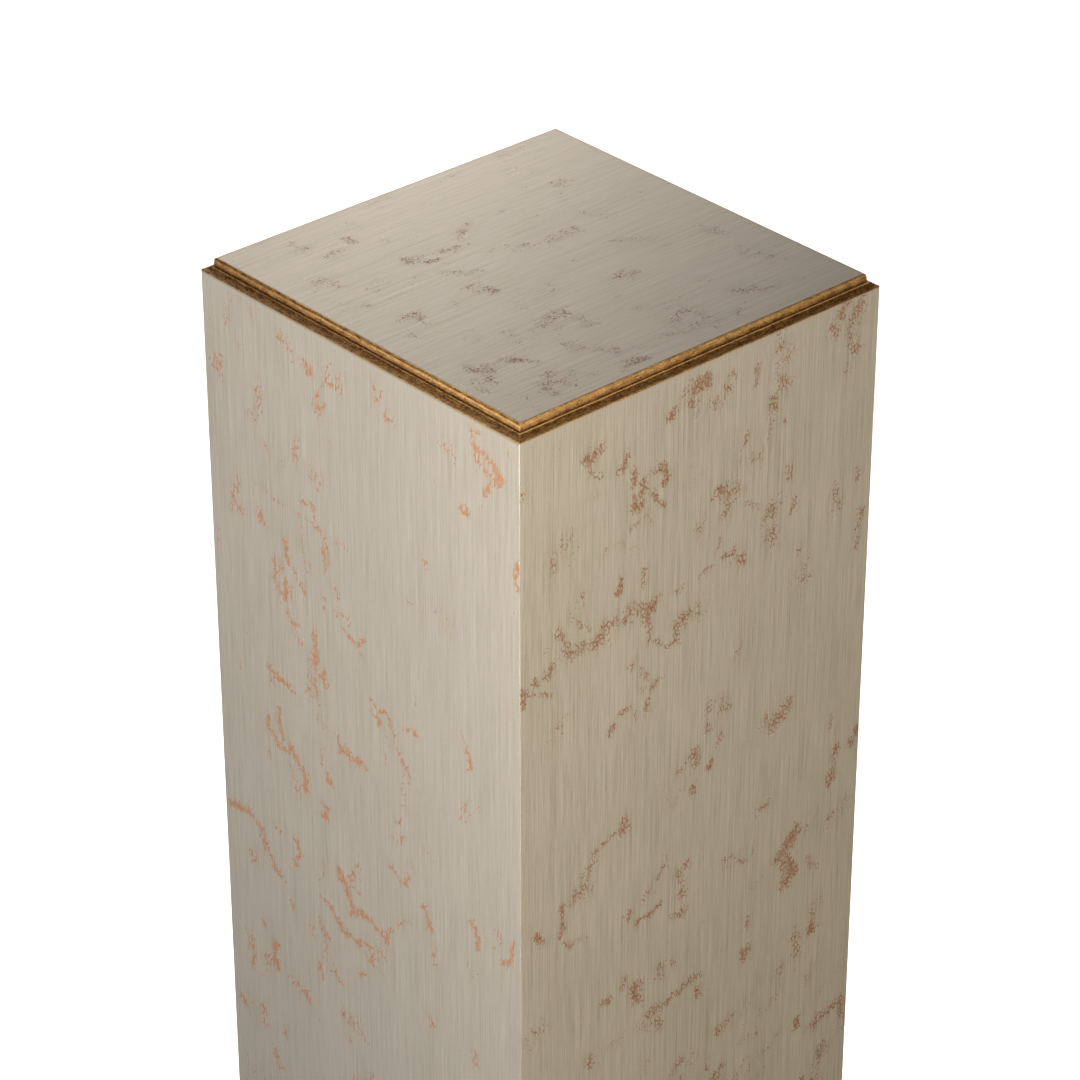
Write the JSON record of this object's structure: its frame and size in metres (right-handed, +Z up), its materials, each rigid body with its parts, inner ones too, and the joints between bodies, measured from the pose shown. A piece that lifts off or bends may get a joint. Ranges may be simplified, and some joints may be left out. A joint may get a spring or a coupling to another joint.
{
  "type": "display pedestal",
  "caption": "Tall square box pedestal with worn silver-leaf faces and an antique gilt moulding round a flat display top.",
  "frame": {"origin": "centre of the base, on the floor", "axes": "+Z up along the pedestal's height; -Y is out of the front side, which the picture shows on the left, and +X is out of the right side"},
  "size_m": [0.305, 0.305, 1.067],
  "materials": {
    "silver_leaf": "toned silver leaf over red clay on boards, brushed and rubbed through in flecks",
    "antique_gilt": "antique gilt on a moulded wood edge, dark patina in the recesses"
  },
  "bodies": {
    "root": {"front_panel": "silver_leaf", "right_panel": "silver_leaf", "back_panel": "silver_leaf", "left_panel": "silver_leaf", "top_panel": "silver_leaf", "front_moulding": "antique_gilt", "right_moulding": "antique_gilt", "back_moulding": "antique_gilt", "left_moulding": "antique_gilt"}
  },
  "joints": []
}
